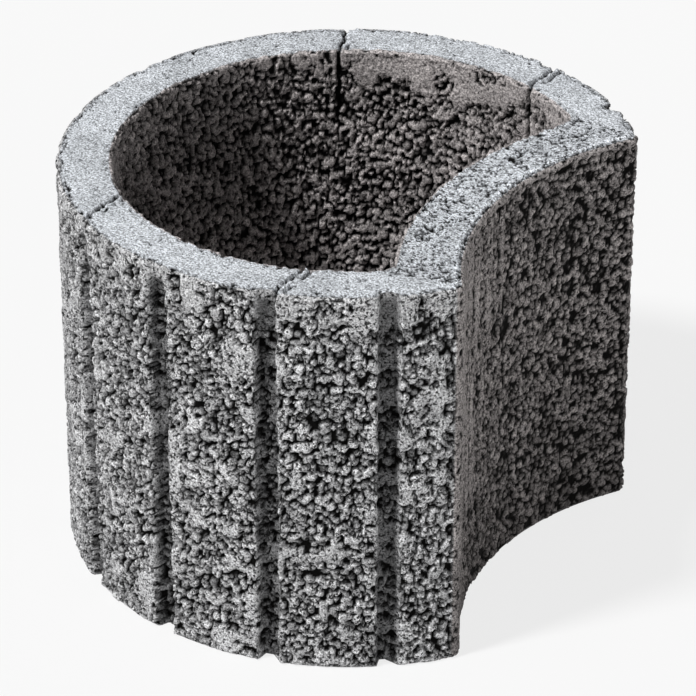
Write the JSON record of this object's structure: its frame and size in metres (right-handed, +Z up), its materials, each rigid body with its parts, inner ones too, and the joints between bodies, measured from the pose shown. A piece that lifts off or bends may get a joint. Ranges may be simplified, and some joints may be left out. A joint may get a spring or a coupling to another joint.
{
  "type": "concrete planter ring",
  "caption": "Round lean-concrete planter ring, open top and bottom, with upright flutes and a hollowed side that nests against the next ring.",
  "frame": {"origin": "centre of the footprint's bounding box, on the plane that the ring stands on", "axes": "+Z up along the well, +X out through the hollowed side, +Y across the two horns"},
  "size_m": [0.3119, 0.35, 0.25],
  "materials": {
    "concrete": "open-textured lean concrete, rough and matt"
  },
  "bodies": {
    "root": {"planter_ring": "concrete"}
  },
  "joints": []
}
